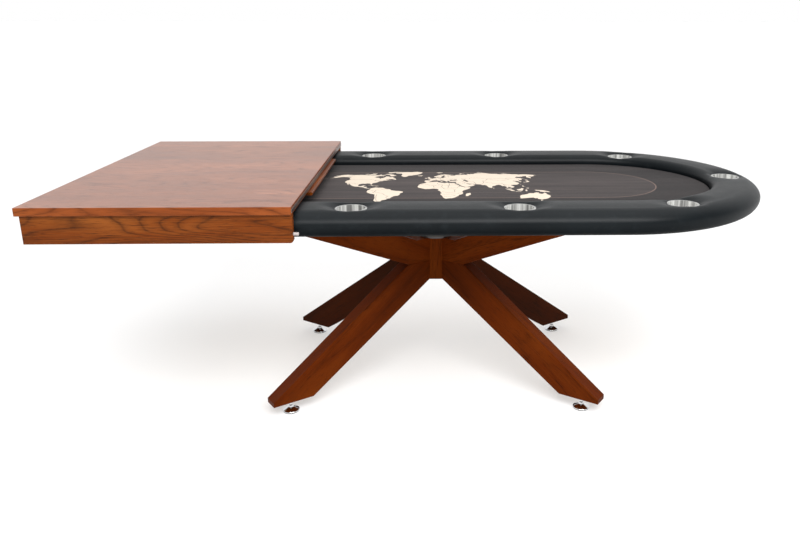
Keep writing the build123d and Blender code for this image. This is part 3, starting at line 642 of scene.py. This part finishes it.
# ---- Materials ----
class Graph:
    """A node tree, with a short call for each node that repeats."""

    def __init__(self, tree):
        self.tree = tree

    def node(self, kind, **settings):
        made = self.tree.nodes.new("ShaderNode" + kind)
        for key, value in settings.items():
            setattr(made, key, value)
        return made

    def join(self, value, socket):
        """Link a socket, or set a plain value."""
        if isinstance(value, bpy.types.NodeSocket):
            self.tree.links.new(value, socket)
        else:
            socket.default_value = value

    def parts(self, vector):
        made = self.node("SeparateXYZ")
        self.join(vector, made.inputs[0])
        return made.outputs

    def moved(self, vector, scale=(1, 1, 1), rotation=(0, 0, 0), shift=(0, 0, 0)):
        made = self.node("Mapping")
        self.join(vector, made.inputs["Vector"])
        made.inputs["Scale"].default_value = scale
        made.inputs["Rotation"].default_value = rotation
        made.inputs["Location"].default_value = shift
        return made.outputs["Vector"]

    def noise(self, vector, scale, detail=3.0, roughness=0.5):
        """Noise, stretched if its scale is given as one number for each axis."""
        if isinstance(scale, tuple):
            vector, scale = self.moved(vector, scale=scale), 1.0
        made = self.node("TexNoise")
        self.join(vector, made.inputs["Vector"])
        made.inputs["Scale"].default_value = scale
        made.inputs["Detail"].default_value = detail
        made.inputs["Roughness"].default_value = roughness
        return made.outputs["Fac"]

    def math(self, operation, a, b=0.0):
        made = self.node("Math", operation=operation)
        for value, socket in zip((a, b), made.inputs):
            self.join(value, socket)
        return made.outputs[0]

    def times(self, a, b):
        return self.math("MULTIPLY", a, b)

    def ramp(self, value, *stops):
        """Colours, or greys given as one number, at places from 0 to 1."""
        made = self.node("ValToRGB")
        elements = made.color_ramp.elements
        while len(elements) < len(stops):
            elements.new(1.0)
        for element, (place, color) in zip(elements, stops):
            element.position = place
            element.color = (*color, 1) if isinstance(color, tuple) else (color, color, color, 1)
        self.join(value, made.inputs["Fac"])
        return made.outputs["Color"]

    def mix(self, a, b, factor, blend="MIX"):
        made = self.node("Mix", data_type="RGBA", blend_type=blend)
        for value, index in ((factor, 0), (a, 6), (b, 7)):
            if isinstance(value, tuple):
                value = (*value, 1)
            self.join(value, made.inputs[index])
        return made.outputs[2]

    def spread(self, value, low, high):
        """Map 0 to 1 onto a range."""
        made = self.node("MapRange")
        self.join(value, made.inputs["Value"])
        made.inputs["To Min"].default_value = low
        made.inputs["To Max"].default_value = high
        return made.outputs["Result"]


class Paint(Graph):
    """One material's nodes."""

    def __init__(self, name, roughness, metallic=0.0, color=None, **sockets):
        self.material = bpy.data.materials.new(name)
        self.material.use_nodes = True
        super().__init__(self.material.node_tree)
        self.shader = self.tree.nodes["Principled BSDF"]
        self.shader.inputs["Roughness"].default_value = roughness
        self.shader.inputs["Metallic"].default_value = metallic
        if color:
            self.shader.inputs["Base Color"].default_value = (*color, 1)
        for socket, value in sockets.items():
            self.shader.inputs[socket.replace("_", " ")].default_value = value
        self.place = self.node("TexCoord").outputs["Object"]

    def color(self, value):
        self.join(value, self.shader.inputs["Base Color"])

    def rough(self, value, low, high):
        self.join(self.spread(value, low, high), self.shader.inputs["Roughness"])

    def facing(self, low, high):
        """0 to 1 as a face turns from one upward slope to another: -1 looks down, 1 looks up."""
        normal = self.parts(self.node("TexCoord").outputs["Normal"])
        made = self.node("MapRange")
        made.inputs["From Min"].default_value = low
        made.inputs["From Max"].default_value = high
        self.join(normal["Z"], made.inputs["Value"])
        return made.outputs["Result"]

    def bump(self, height, distance, strength=1.0):
        made = self.node("Bump")
        made.inputs["Strength"].default_value = strength
        made.inputs["Distance"].default_value = distance
        self.join(height, made.inputs["Height"])
        self.join(made.outputs["Normal"], self.shader.inputs["Normal"])


def turned_to(direction):
    """Rotation that brings a direction onto X, so that the grain can be stretched along it."""
    return Vector(direction).normalized().to_track_quat("X", "Z").to_matrix().inverted().to_euler()


def in_boards(paint, place, width, jumps):
    """Place moved by a jump for each board, the board's random number, and how near a glue line is."""
    across = paint.math("DIVIDE", paint.parts(place)["Y"], width)
    random = paint.node("TexWhiteNoise", noise_dimensions="1D").outputs["Value"]
    paint.join(paint.math("FLOOR", across), random.node.inputs["W"])
    glue = paint.times(paint.math("PINGPONG", across, 0.5), width)
    offset = paint.node("CombineXYZ")
    for axis, jump in jumps.items():
        paint.join(paint.times(random, jump), offset.inputs[axis])
    added = paint.node("VectorMath", operation="ADD")
    paint.join(place, added.inputs[0])
    paint.join(offset.outputs[0], added.inputs[1])
    return added.outputs[0], random, glue


def wood(
    name, direction, palette, shift=0.0, boards=0.0, shine=(0.26, 0.42), rings=15, figure=0.6, **shader
):
    """Lacquered open-grained wood: growth rings cut lengthwise, dark pores and slow colour drift."""
    dark, middle, light, pore = palette
    paint = Paint(name, 0.35, **shader)
    moved = (shift, shift * 0.7, shift * 1.3)
    place = paint.moved(paint.place, rotation=turned_to(direction), shift=moved)
    if boards:
        place, random, glue = in_boards(paint, place, boards, {"X": 5.0, "Y": 3.0})
    broad = paint.noise(place, (1.1, 8.5, 8.5), detail=1.5, roughness=0.4)
    ring = paint.math("PINGPONG", paint.times(broad, rings), 0.5)
    late = paint.ramp(paint.times(ring, 2.0), (0.0, 1.0), (0.22, 0.35), (0.75, 0.0))
    fibre = paint.noise(place, (9, 420, 420), detail=3.0, roughness=0.6)
    drift = paint.noise(place, (1.6, 7, 7), detail=3.0)
    base = paint.ramp(drift, (0.28, dark), (0.5, middle), (0.72, light))
    ringed = paint.mix(base, pore, paint.times(late, figure))
    streaked = paint.mix(ringed, light, paint.ramp(fibre, (0.45, 0.0), (0.8, 0.55)))
    pores = paint.noise(place, (26, 900, 900), detail=2.0, roughness=0.5)
    crowded = paint.math("ADD", pores, paint.times(late, 0.07))
    pits = paint.ramp(crowded, (0.6, 0.0), (0.68, 0.85))
    finished = paint.mix(streaked, pore, pits)
    if boards:
        tint = paint.spread(random, 0.86, 1.1)
        toned = paint.mix(finished, tint, 1.0, "MULTIPLY")
        seam = paint.ramp(paint.times(glue, 1000), (0.25, 1.0), (0.9, 0.0))
        seamed = paint.mix(toned, dark, paint.times(seam, 0.5))
        # The slab's sides and underside are multiplied by a darker, more orange tint than its top:
        # painted shade
        upward = paint.facing(0.6, 0.9)
        finished = paint.mix(paint.mix(seamed, SIDE_SHADE_TINT, 1.0, "MULTIPLY"), seamed, upward)
        paint.join(paint.spread(upward, 0.1, 0.5), paint.shader.inputs["Specular IOR Level"])
    paint.color(finished)
    paint.rough(drift, *shine)
    relief = paint.math("ADD", pits, paint.times(fibre, 0.3))
    paint.bump(paint.times(relief, -1.0), 0.00012)
    return paint.material


VINYL_TONES = ((0.0025, 0.0038, 0.0048), (0.0045, 0.0065, 0.0078))
VINYL_WORN = (0.010, 0.013, 0.015)
PEBBLES = 720


def vinyl():
    """Black upholstery vinyl with a fine pebbled grain."""
    paint = Paint("vinyl_black", 0.3)
    gloss = paint.spread(paint.facing(-0.6, 0.1), 0.02, 0.13)
    paint.join(gloss, paint.shader.inputs["Specular IOR Level"])
    pebble = paint.node("TexVoronoi", feature="SMOOTH_F1")
    paint.join(paint.place, pebble.inputs["Vector"])
    pebble.inputs["Scale"].default_value = PEBBLES
    pebble.inputs["Smoothness"].default_value = 0.6
    fine = paint.noise(paint.place, 1400, detail=3)
    drift = paint.noise(paint.place, 3.2, detail=4)
    wear = paint.noise(paint.place, 26, detail=5, roughness=0.6)
    base = paint.ramp(drift, (0.3, VINYL_TONES[0]), (0.7, VINYL_TONES[1]))
    paint.color(paint.mix(base, VINYL_WORN, paint.ramp(wear, (0.55, 0.0), (0.8, 0.6))))
    paint.rough(wear, 0.36, 0.45)
    height = paint.math("ADD", pebble.outputs["Distance"], paint.times(fine, 0.35))
    paint.bump(height, 0.00025, 0.5)
    return paint.material


PRINT_BOARDS = 0.126
PRINT_SHIFT = (0.4, 0.021, 0)
WEAVE = 420
OUTER_PRINT = ((0.013, 0.011, 0.0115), (0.038, 0.031, 0.030))
INNER_PRINT = ((0.024, 0.020, 0.020), (0.078, 0.061, 0.058))
SEAM_INK = (0.012, 0.010, 0.010)
LAND_INK = (0.62, 0.53, 0.43)
LINE_INK = (0.135, 0.092, 0.078)


def printed(name, dark, light, ink=None):
    """Close-woven cloth printed with wooden boards, or with one ink over them."""
    paint = Paint(name, 0.85, Specular_IOR_Level=0.15, Sheen_Weight=0.03, Sheen_Roughness=0.5)
    shifted = paint.moved(paint.place, shift=PRINT_SHIFT)
    place, random, glue = in_boards(paint, shifted, PRINT_BOARDS, {"X": 4.0})
    grain = paint.noise(place, (2.4, 60, 60), detail=5, roughness=0.62)
    shade = paint.noise(place, (0.9, 9, 9), detail=2)
    tones = paint.ramp(grain, (0.3, dark), (0.7, light))
    boards = paint.mix(tones, dark, paint.spread(shade, 0.0, 0.6))
    toned = paint.mix(boards, paint.spread(random, 0.82, 1.12), 1.0, "MULTIPLY")
    seam = paint.ramp(paint.times(glue, 1000), (0.5, 0.75), (1.8, 0.0))
    look = paint.mix(toned, SEAM_INK, seam)
    if ink:
        look = paint.mix(look, paint.mix(ink, light, paint.spread(grain, 0.0, 0.10)), 0.985)
    weave = paint.node("TexWave", wave_type="BANDS", bands_direction="X", wave_profile="SIN")
    other = paint.node("TexWave", wave_type="BANDS", bands_direction="Y", wave_profile="SIN")
    for wave in (weave, other):
        paint.join(paint.place, wave.inputs["Vector"])
        wave.inputs["Scale"].default_value = WEAVE
    threads = paint.times(weave.outputs["Fac"], other.outputs["Fac"])
    paint.color(paint.mix(look, (1.0, 1.0, 1.0), paint.times(threads, 0.02)))
    paint.rough(grain, 0.74, 0.9)
    paint.bump(threads, 0.00012, 0.6)
    return paint.material


def metal(
    name, color, low, high, streaks=(1, 1, 1), scale=60.0, depth=2e-5, bare=1.0, deep=0.82, lip=0.0
):
    """Metal whose roughness, shade and surface vary along its finish."""
    paint = Paint(name, (low + high) / 2, metallic=bare, color=color)
    fine = paint.noise(paint.moved(paint.place, scale=streaks), scale, detail=4, roughness=0.6)
    smudge = paint.noise(paint.place, 22, detail=3)
    paint.rough(paint.times(paint.math("ADD", fine, smudge), 0.5), low, high)
    darker = tuple(deep * channel for channel in color)
    streaked = paint.mix(color, darker, paint.ramp(fine, (0.36, 0.0), (0.64, 1.0)))
    # Upward faces, such as a cup's lip, are painted darker by lip: painted shade
    if lip:
        streaked = paint.mix(streaked, darker, paint.times(paint.facing(0.6, 0.9), lip))
    paint.color(streaked)
    paint.bump(fine, depth)
    return paint.material


def painted(name, color, roughness):
    """Powder-coated steel with an orange-peel texture."""
    paint = Paint(name, roughness)
    peel = paint.noise(paint.place, 900, detail=3)
    scuff = paint.noise(paint.place, 40, detail=5, roughness=0.65)
    lighter = tuple(min(1.0, 1.9 * channel) for channel in color)
    paint.color(paint.mix(color, lighter, paint.ramp(scuff, (0.55, 0.0), (0.8, 0.5))))
    paint.rough(scuff, roughness - 0.08, roughness + 0.12)
    paint.bump(peel, 0.00006)
    return paint.material


def matte(name, dark, light, scale, depth, roughness, sheen=0.0):
    """Felt, foam, rubber or plastic: a mottled colour with a matching small relief."""
    paint = Paint(name, roughness, Sheen_Weight=sheen)
    speck = paint.noise(paint.place, scale, detail=5, roughness=0.65)
    cloud = paint.noise(paint.place, scale / 18, detail=3)
    speckled = paint.ramp(speck, (0.3, dark), (0.7, light))
    paint.color(paint.mix(speckled, dark, paint.spread(cloud, 0.0, 0.4)))
    paint.rough(speck, max(0.05, roughness - 0.1), min(1.0, roughness + 0.08))
    paint.bump(speck, depth)
    return paint.material


PLY = 0.0015
BIRCH_TONES = ((0.46, 0.31, 0.17), (0.62, 0.46, 0.28))
DARK_PLY = (0.24, 0.14, 0.07)


def plywood():
    """Birch plywood: pale faces with soft grain and alternate dark and light plies on the edges."""
    paint = Paint("plywood_birch", 0.6)
    face = paint.noise(paint.place, (2, 30, 30), detail=4, roughness=0.6)
    pale = paint.ramp(face, (0.3, BIRCH_TONES[0]), (0.7, BIRCH_TONES[1]))
    ply = paint.math("PINGPONG", paint.math("DIVIDE", paint.parts(paint.place)["Z"], PLY), 1.0)
    normal = paint.parts(paint.node("TexCoord").outputs["Normal"])
    upright = paint.math("SUBTRACT", 1.0, paint.math("ABSOLUTE", normal["Z"]))
    dark_ply = paint.times(paint.ramp(ply, (0.4, 0.0), (0.6, 0.7)), upright)
    paint.color(paint.mix(pale, DARK_PLY, dark_ply))
    paint.rough(face, 0.52, 0.7)
    paint.bump(face, 0.0001)
    return paint.material


# Stained woods as dark, middle and light tones and the colour of the pores. The back legs' tones are the
# base's own, darkened as painted shade.
LEAF_TONES = ((0.070, 0.014, 0.001), (0.135, 0.028, 0.002), (0.225, 0.064, 0.010), (0.028, 0.007, 0.001))
TOP_TONES = ((0.160, 0.052, 0.024), (0.24, 0.085, 0.043), (0.33, 0.132, 0.074), (0.09, 0.033, 0.019))
BASE_TONES = (
    (0.044, 0.0055, 0.0004), (0.080, 0.0115, 0.0006), (0.125, 0.024, 0.0020), (0.022, 0.003, 0.0004),
)
# Back legs: the base's tones darkened, a painted shade for legs that stand in shadow under the table
BACK_LEG_SHADE_TONES = (
    (0.018, 0.0022, 0.0003), (0.034, 0.0045, 0.0004), (0.055, 0.009, 0.0008), (0.009, 0.0015, 0.0003),
)
DOWEL_TONES = ((0.38, 0.24, 0.12), (0.50, 0.34, 0.19), (0.60, 0.44, 0.27), (0.25, 0.15, 0.08))
APRON_FINISH = {"Specular_IOR_Level": 0.1, "rings": 26, "figure": 0.7}
BASE_FINISH = {
    "shine": (0.45, 0.6),
    "figure": 0.25,
    "Specular_IOR_Level": 0.07,
    "Specular_Tint": (1.0, 0.62, 0.25, 1.0),
}
TOP_FINISH = {"shine": (0.24, 0.36), "rings": 24, "boards": 0.298}
# Darker, more orange tint of the leaf slab's sides and underside: painted shade
SIDE_SHADE_TINT = (0.86, 0.55, 0.22)
SLOPES = {"leg": math.radians(-35.6), "arm": math.radians(23.6)}


def paint_node(node, material):
    """Give a carried-over CAD node its material."""
    mesh = NODES[node].data
    mesh.materials.clear()
    mesh.materials.append(material)


def paint_woods():
    """Wood of the base and of the dining section, each piece with its own grain direction."""
    foot = middle_of("foot_stem_back_right")
    spoke = math.atan2(foot.y, foot.x - HUB_X)
    paint_node("hub_post", wood("wood_post", (0, 0, 1), BASE_TONES, shift=3.1, **BASE_FINISH))
    for number, (quarter, (side_x, side_y)) in enumerate(QUARTERS.items()):
        for part, slope in SLOPES.items():
            level = math.cos(slope)
            along, across = side_x * level * math.cos(spoke), side_y * level * math.sin(spoke)
            direction = (along, across, math.sin(slope))
            shift = 0.9 * number + (0.37 if part == "arm" else 0.0)
            node = f"{part}_{quarter}"
            # Back legs take the darker tones: painted shade
            tones = BACK_LEG_SHADE_TONES if side_y > 0 and part == "leg" else BASE_TONES
            material = wood(f"wood_{node}", direction, tones, shift=shift, rings=9.0, **BASE_FINISH)
            paint_node(node, material)
    paint_node("leaf_slab", wood("wood_leaf_top", (1, 0, 0), TOP_TONES, shift=0.2, **TOP_FINISH))
    for number, node in enumerate(("leaf_apron_front", "leaf_apron_back")):
        paint_node(node, wood(f"wood_{node}", (1, 0, 0), LEAF_TONES, shift=1.7 + number, **APRON_FINISH))
    paint_node("leaf_apron_end", wood("wood_leaf_end", (0, 1, 0), LEAF_TONES, shift=4.3, **APRON_FINISH))
    paint_node("leaf_tongue", wood("wood_tongue", (0, 1, 0), LEAF_TONES, shift=5.9, **APRON_FINISH))
    paint_node("leaf_corner_blocks", wood("wood_blocks", (0, 0, 1), LEAF_TONES, shift=6.4))
    beech = wood("wood_beech", (0, 0, 1), DOWEL_TONES, shift=7.7, shine=(0.5, 0.65))
    for node in ("apron_dowels", "joint_dowels"):
        paint_node(node, beech)


# Dark and light tones of the matte pieces
PADDING_TONES = ((0.50, 0.49, 0.42), (0.66, 0.65, 0.57))
UNDERLAY_TONES = ((0.42, 0.44, 0.46), (0.56, 0.58, 0.60))
FELT_TONES = ((0.020, 0.020, 0.020), (0.055, 0.055, 0.055))
RUBBER_TONES = ((0.018, 0.018, 0.018), (0.034, 0.034, 0.034))
NYLON_TONES = ((0.30, 0.26, 0.25), (0.40, 0.36, 0.35))
RIBBED_FINISH = {"streaks": (1, 0.3, 1), "scale": 300, "deep": 0.6}
# Cup steel: vertical streaks along the drawing, and the lip's upward faces painted darker as painted
# shade
DRAWN_FINISH_AND_LIP_SHADE = {"streaks": (1, 1, 0.02), "depth": 0.0002, "bare": 0.45, "deep": 0.2, "lip": 0.7}
FASTENERS = ("deck_screws", "plate_screws", "tongue_screws", "tie_rods", "barrel_nuts", "foot_inserts")


def paint_rest():
    """Everything that isn't wood, cloth or vinyl."""
    ply = plywood()
    for node in ("rail_frame", "deck_board", "deck_batten_front", "deck_batten_back"):
        paint_node(node, ply)
    steel = metal("steel_cup", (0.96, 0.96, 0.93), 0.28, 0.42, **DRAWN_FINISH_AND_LIP_SHADE)
    for node in CUPS:
        paint_node(node, steel)
    paint_node("leaf_edge_strip", metal("bronze_strip", (0.36, 0.28, 0.25), 0.28, 0.42, **RIBBED_FINISH))
    chrome = metal("chrome_foot", (0.78, 0.79, 0.81), 0.03, 0.12, scale=40, depth=0.000004)
    sole = matte("rubber_sole", *RUBBER_TONES, 700, 0.00008, 0.75)
    for quarter in QUARTERS:
        paint_node(f"foot_pad_{quarter}", chrome)
        paint_node(f"foot_stem_{quarter}", chrome)
        paint_node(f"foot_sole_{quarter}", sole)
    plate = painted("steel_plate", (0.060, 0.060, 0.064), 0.45)
    for node in ("hub_plate", "arm_plates"):
        paint_node(node, plate)
    zinc = metal("zinc_fastener", (0.62, 0.62, 0.60), 0.25, 0.45, scale=500)
    for node in FASTENERS:
        paint_node(node, zinc)
    paint_node("leaf_pins", matte("nylon_pin", *NYLON_TONES, 500, 0.00003, 0.45))


def give(piece, *materials):
    """Materials of a new piece, in the order of its faces' numbers."""
    for material in materials:
        piece.data.materials.append(material)


# ---- Camera, floor and light ----
CAMERA_FROM_HUB = (-0.0029, -2.6600, 1.2965)
CAMERA_YAW = 1.364
CAMERA_PITCH = 16.71
CAMERA_ROLL = 0.078
CAMERA_LENS = 33.596
CAMERA_SENSOR = 36
CAMERA_SHIFT = (-0.065, -0.0297)
FLOOR_HALF = 400.0
FLOOR_GREY = (0.5, 0.5, 0.5)
FLOOR_GLOW = 0.46
ROOM = ((0.0, 0.16), (0.42, 0.26), (0.70, 1.0))
HORIZON = ((0.12, 1.0), (0.2, 0.0))
CEILING_PLACE = (0.3, -0.2, 4)
CEILING = 1.45
CEILING_SPREAD = 60.0
BOX_PLACE = (0.5, -2.95, 3.14)
BOX_TARGET = (0.1, -0.4, 0.7)
BOX_SIZE = (3.8, 1.5)
BOX_POWER = 215


def add_camera():
    """Camera at the viewing angle of a standing person in front of the table."""
    data = bpy.data.cameras.new("camera")
    data.lens = CAMERA_LENS
    data.sensor_width = CAMERA_SENSOR
    data.clip_end = 4 * FLOOR_HALF
    data.shift_x, data.shift_y = CAMERA_SHIFT
    camera = bpy.data.objects.new("camera", data)
    bpy.context.scene.collection.objects.link(camera)
    turn = Matrix.Rotation(math.radians(-CAMERA_YAW), 4, "Z")
    tilt = Matrix.Rotation(math.radians(90 - CAMERA_PITCH), 4, "X")
    roll = Matrix.Rotation(math.radians(CAMERA_ROLL), 4, "Z")
    place = Matrix.Translation(Vector((HUB_X, 0, 0)) + Vector(CAMERA_FROM_HUB))
    camera.matrix_world = place @ turn @ tilt @ roll
    bpy.context.scene.camera = camera


def add_floor():
    """Pale matte floor that runs out of sight."""
    size = FLOOR_HALF
    corners = [(-size, -size, 0), (size, -size, 0), (size, size, 0), (-size, size, 0)]
    floor = add_mesh("floor", corners, [(0, 1, 2, 3)], smooth=False)
    white = Paint("floor_white", 0.9, color=FLOOR_GREY, Emission_Strength=FLOOR_GLOW)
    white.shader.inputs["Emission Color"].default_value = (1, 1, 1, 1)
    give(floor, white.material)


def aim(thing, place, target):
    """Put a lamp somewhere and point it at a target."""
    bpy.context.scene.collection.objects.link(thing)
    thing.location = place
    thing.rotation_euler = (Vector(target) - Vector(place)).to_track_quat("-Z", "Y").to_euler()


def add_lights():
    """White wall behind, darker room in front, white horizon, a soft ceiling and a box in front."""
    world = bpy.data.worlds.new("studio")
    world.use_nodes = True
    graph = Graph(world.node_tree)
    direction = graph.parts(graph.node("TexCoord").outputs["Generated"])
    depth = graph.math("ADD", graph.times(direction["Y"], 0.5), 0.5)
    background = world.node_tree.nodes["Background"]
    horizon = graph.ramp(direction["Z"], *HORIZON)
    room = graph.mix(graph.ramp(depth, *ROOM), (1.0, 1.0, 1.0), horizon)
    graph.join(room, background.inputs["Color"])
    background.inputs["Strength"].default_value = 1.0
    bpy.context.scene.world = world
    sky = bpy.data.lights.new("ceiling", "SUN")
    sky.energy = CEILING
    sky.angle = math.radians(CEILING_SPREAD)
    aim(bpy.data.objects.new("ceiling", sky), CEILING_PLACE, (0, 0, 0))
    box = bpy.data.lights.new("front", "AREA")
    box.shape = "RECTANGLE"
    box.size, box.size_y = BOX_SIZE
    box.energy = BOX_POWER
    aim(bpy.data.objects.new("front", box), BOX_PLACE, BOX_TARGET)


def main():
    """Build every piece, paint it and set the scene."""
    cover = rail_vinyl()
    give(cover, vinyl())
    padding = rail_foam()
    give(padding, matte("foam_rail", *PADDING_TONES, 900, 0.0002, 0.9))
    cloth = playing_cloth()
    ground = printed("cloth_boards", *OUTER_PRINT)
    inner = printed("cloth_boards_inner", *INNER_PRINT)
    cream = printed("cloth_land", *INNER_PRINT, ink=LAND_INK)
    tan = printed("cloth_line", *INNER_PRINT, ink=LINE_INK)
    give(cloth, ground, inner, cream, tan)
    underlay = soft_slab("underlay_foam", "field_underlay", 0.001)
    give(underlay, matte("foam_underlay", *UNDERLAY_TONES, 800, 0.0002, 0.9))
    pads = copy_eased("felt_pads", "leaf_pads", "leaf", 0.0009)
    give(pads, matte("felt_dark", *FELT_TONES, 1300, 0.0003, 0.95, sheen=0.3))
    paint_woods()
    paint_rest()
    add_camera()
    add_floor()
    add_lights()
    bpy.context.scene.view_settings.view_transform = "Standard"


main()
